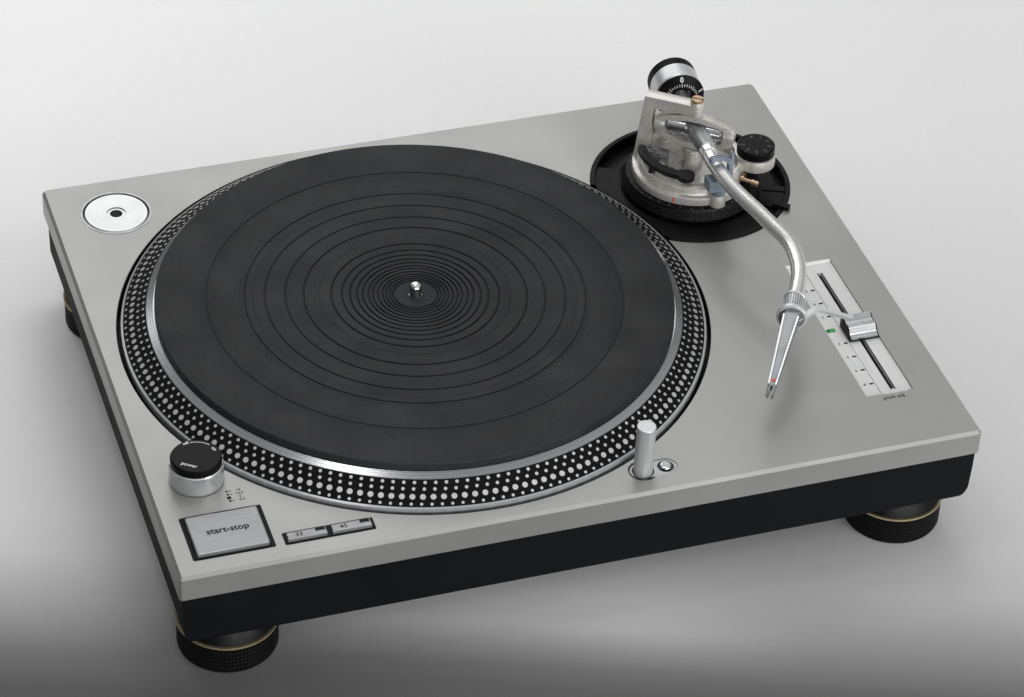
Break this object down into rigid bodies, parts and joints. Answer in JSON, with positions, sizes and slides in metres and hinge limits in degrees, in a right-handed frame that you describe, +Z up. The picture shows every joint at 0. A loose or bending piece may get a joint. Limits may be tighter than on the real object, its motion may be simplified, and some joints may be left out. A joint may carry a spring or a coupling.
{
  "type": "turntable",
  "caption": "Direct-drive turntable with a strobe-dot platter, pitch slider, pop-up stylus lamp and an S-shaped tonearm on a height-adjustable base, standing on screw feet.",
  "frame": {"origin": "on the floor under the middle of the whole object, hinge sockets included", "axes": "+X to the right seen from the front, +Y to the rear, +Z up; the pitch slider is on the right"},
  "size_m": [0.453, 0.3602, 0.1407],
  "materials": {
    "silver_paint": "satin",
    "base_rubber": "matte",
    "foot_black": "matte",
    "foot_brass": "satin",
    "platter_metal": "polished",
    "mat_rubber": "matte",
    "black_plastic": "satin",
    "panel_grey": "satin",
    "chrome": "polished",
    "arm_metal": "satin",
    "clamp_plastic": "satin",
    "window_red": "clear",
    "steel": "plated",
    "board_green": "lacquered",
    "copper": "enamelled wire"
  },
  "bodies": {
    "plinth": {"adaptor_cup": "silver_paint", "arm_pillar": "steel", "bottom_cover": "steel", "cord_glands": "black_plastic", "cover_screws": "steel", "hinge_sockets": "black_plastic", "lamp_bezel": "silver_paint", "main_board": "board_green", "motor_board": "board_green", "pitch_panel": "panel_grey", "pitch_resistor": "black_plastic", "rubber_base": "base_rubber", "speed_bezel": "black_plastic", "spindle_bearing": "steel", "start_stop_bezel": "black_plastic", "stator_coils": "copper", "strobe_lens": "window_red", "strobe_tower": "silver_paint", "tonearm_dish": "black_plastic", "top_cabinet": "silver_paint", "transformer": "steel"},
    "platter_body": {"platter": "platter_metal", "rubber_mat": "mat_rubber", "rotor_magnet": "steel", "spindle": "platter_metal"},
    "foot_fl": {"foot_front_left": "foot_black", "foot_front_left_trim": "foot_brass"},
    "foot_fr": {"foot_front_right": "foot_black", "foot_front_right_trim": "foot_brass"},
    "foot_rl": {"foot_rear_left": "foot_black", "foot_rear_left_trim": "foot_brass"},
    "foot_rr": {"foot_rear_right": "foot_black", "foot_rear_right_trim": "foot_brass"},
    "power_knob_body": {"power_knob": "black_plastic"},
    "start_stop_button_body": {"start_stop_button": "silver_paint"},
    "speed_button_33_body": {"speed_button_33": "silver_paint"},
    "speed_button_45_body": {"speed_button_45": "silver_paint"},
    "pitch_slider": {"pitch_knob": "black_plastic", "pitch_knob_saddle": "chrome"},
    "target_lamp_body": {"target_lamp": "chrome"},
    "lamp_button_body": {"lamp_button": "chrome"},
    "adaptor_body": {"adaptor_45": "platter_metal"},
    "arm_lock_body": {"arm_lock_lever": "black_plastic"},
    "height_ring_body": {"height_ring": "black_plastic"},
    "arm_base_body": {"arm_base": "silver_paint", "top_bearing_screw": "foot_brass", "arm_rest": "clamp_plastic"},
    "anti_skate_body": {"anti_skate_knob": "black_plastic"},
    "cue_lever_body": {"cue_lever": "chrome"},
    "arm_lift_body": {"arm_lift": "black_plastic"},
    "arm_clamp_body": {"arm_clamp": "clamp_plastic"},
    "yoke_body": {"gimbal_yoke": "silver_paint", "pivot_screws": "chrome"},
    "tonearm": {"arm_neck": "arm_metal", "arm_tube": "arm_metal"},
    "counterweight_body": {"counterweight": "chrome"},
    "force_dial_body": {"force_dial": "black_plastic"},
    "locking_nut_body": {"locking_nut": "chrome"},
    "headshell_body": {"headshell": "chrome", "headshell_plug": "chrome"}
  },
  "joints": [
    {"name": "platter_spin", "type": "hinge", "parent": "plinth", "child": "platter_body", "pos_m": [-0.0472, -0.00217, 0.0795], "axis": [0, 0, 1], "continuous": true},
    {"name": "foot_fl_turn", "type": "hinge", "parent": "plinth", "child": "foot_fl", "pos_m": [-0.194, -0.14813, 0.02], "axis": [0, 0, 1], "continuous": true},
    {"name": "foot_fr_turn", "type": "hinge", "parent": "plinth", "child": "foot_fr", "pos_m": [0.194, -0.14813, 0.02], "axis": [0, 0, 1], "continuous": true},
    {"name": "foot_rl_turn", "type": "hinge", "parent": "plinth", "child": "foot_rl", "pos_m": [-0.194, 0.14138, 0.02], "axis": [0, 0, 1], "continuous": true},
    {"name": "foot_rr_turn", "type": "hinge", "parent": "plinth", "child": "foot_rr", "pos_m": [0.194, 0.14138, 0.02], "axis": [0, 0, 1], "continuous": true},
    {"name": "power_turn", "type": "hinge", "parent": "plinth", "child": "power_knob_body", "pos_m": [-0.1993, -0.10547, 0.0915], "axis": [0, 0, -1], "range_deg": [0, 50]},
    {"name": "start_stop_press", "type": "slide", "parent": "plinth", "child": "start_stop_button_body", "axis": [0, 0, -1], "range_m": [0, 0.0013], "stiffness_N_per_m": 900},
    {"name": "speed_33_press", "type": "slide", "parent": "plinth", "child": "speed_button_33_body", "axis": [0, 0, -1], "range_m": [0, 0.0012], "stiffness_N_per_m": 400},
    {"name": "speed_45_press", "type": "slide", "parent": "plinth", "child": "speed_button_45_body", "axis": [0, 0, -1], "range_m": [0, 0.0012], "stiffness_N_per_m": 400},
    {"name": "pitch_slide", "type": "slide", "parent": "plinth", "child": "pitch_slider", "axis": [0, 1, 0], "range_m": [-0.045, 0.055]},
    {"name": "lamp_slide", "type": "slide", "parent": "plinth", "child": "target_lamp_body", "axis": [0, 0, 1], "range_m": [-0.028, 0]},
    {"name": "lamp_button_press", "type": "slide", "parent": "plinth", "child": "lamp_button_body", "axis": [0, 0, -1], "range_m": [0, 0.001], "stiffness_N_per_m": 300},
    {"name": "adaptor_lift", "type": "slide", "parent": "plinth", "child": "adaptor_body", "axis": [0, 0, 1], "range_m": [0, 0.025]},
    {"name": "arm_lock_turn", "type": "hinge", "parent": "plinth", "child": "arm_lock_body", "pos_m": [0.1508, 0.08153, 0.0795], "axis": [0, 0, 1], "range_deg": [-12, 12]},
    {"name": "arm_height", "type": "slide", "parent": "plinth", "child": "arm_base_body", "axis": [0, 0, 1], "range_m": [0, 0.006]},
    {"name": "height_ring_turn", "type": "hinge", "parent": "plinth", "child": "height_ring_body", "pos_m": [0.1508, 0.08153, 0.0845], "axis": [0, 0, 1], "range_deg": [-1, 361]},
    {"name": "anti_skate_turn", "type": "hinge", "parent": "arm_base_body", "child": "anti_skate_body", "pos_m": [0.1876, 0.07243, 0.1015], "axis": [0, 0, -1], "range_deg": [0, 270]},
    {"name": "cue_lever_turn", "type": "hinge", "parent": "arm_base_body", "child": "cue_lever_body", "pos_m": [0.17752, 0.06562, 0.0907], "axis": [-0.8171, 0.5764, 0], "range_deg": [-0.5, 39]},
    {"name": "arm_lift_slide", "type": "slide", "parent": "arm_base_body", "child": "arm_lift_body", "axis": [0, 0, 1], "range_m": [0, 0.0065]},
    {"name": "arm_clamp_turn", "type": "hinge", "parent": "arm_base_body", "child": "arm_clamp_body", "pos_m": [0.1574, 0.03852, 0.1099], "axis": [0, 1, 0], "range_deg": [0, 60]},
    {"name": "arm_swing", "type": "hinge", "parent": "arm_base_body", "child": "yoke_body", "pos_m": [0.1508, 0.08153, 0.119], "axis": [0, 0, -1], "range_deg": [0, 45]},
    {"name": "arm_tilt", "type": "hinge", "parent": "yoke_body", "child": "tonearm", "pos_m": [0.1508, 0.08153, 0.119], "axis": [-0.8171, 0.5764, 0], "range_deg": [-0.5, 2.5]},
    {"name": "counterweight_turn", "type": "hinge", "parent": "tonearm", "child": "counterweight_body", "pos_m": [0.15498, 0.12934, 0.119], "axis": [0.0872, 0.9962, 0], "continuous": true},
    {"name": "force_dial_turn", "type": "hinge", "parent": "counterweight_body", "child": "force_dial_body", "pos_m": [0.1542, 0.12038, 0.119], "axis": [0.0872, 0.9962, 0], "continuous": true},
    {"name": "locking_nut_turn", "type": "hinge", "parent": "tonearm", "child": "locking_nut_body", "pos_m": [0.15, -0.08317, 0.1162], "axis": [-0.4628, -0.8862, -0.0226], "range_deg": [-30, 30]},
    {"name": "headshell_plug", "type": "slide", "parent": "tonearm", "child": "headshell_body", "axis": [-0.4628, -0.8862, -0.0226], "range_m": [0, 0.014]}
  ],
  "couplings": [
    {"joint": "height_ring_turn", "follows": "arm_height", "rad_per_m": 1047.2},
    {"joint": "cue_lever_turn", "follows": "arm_lift_slide", "rad_per_m": 102.03}
  ]
}
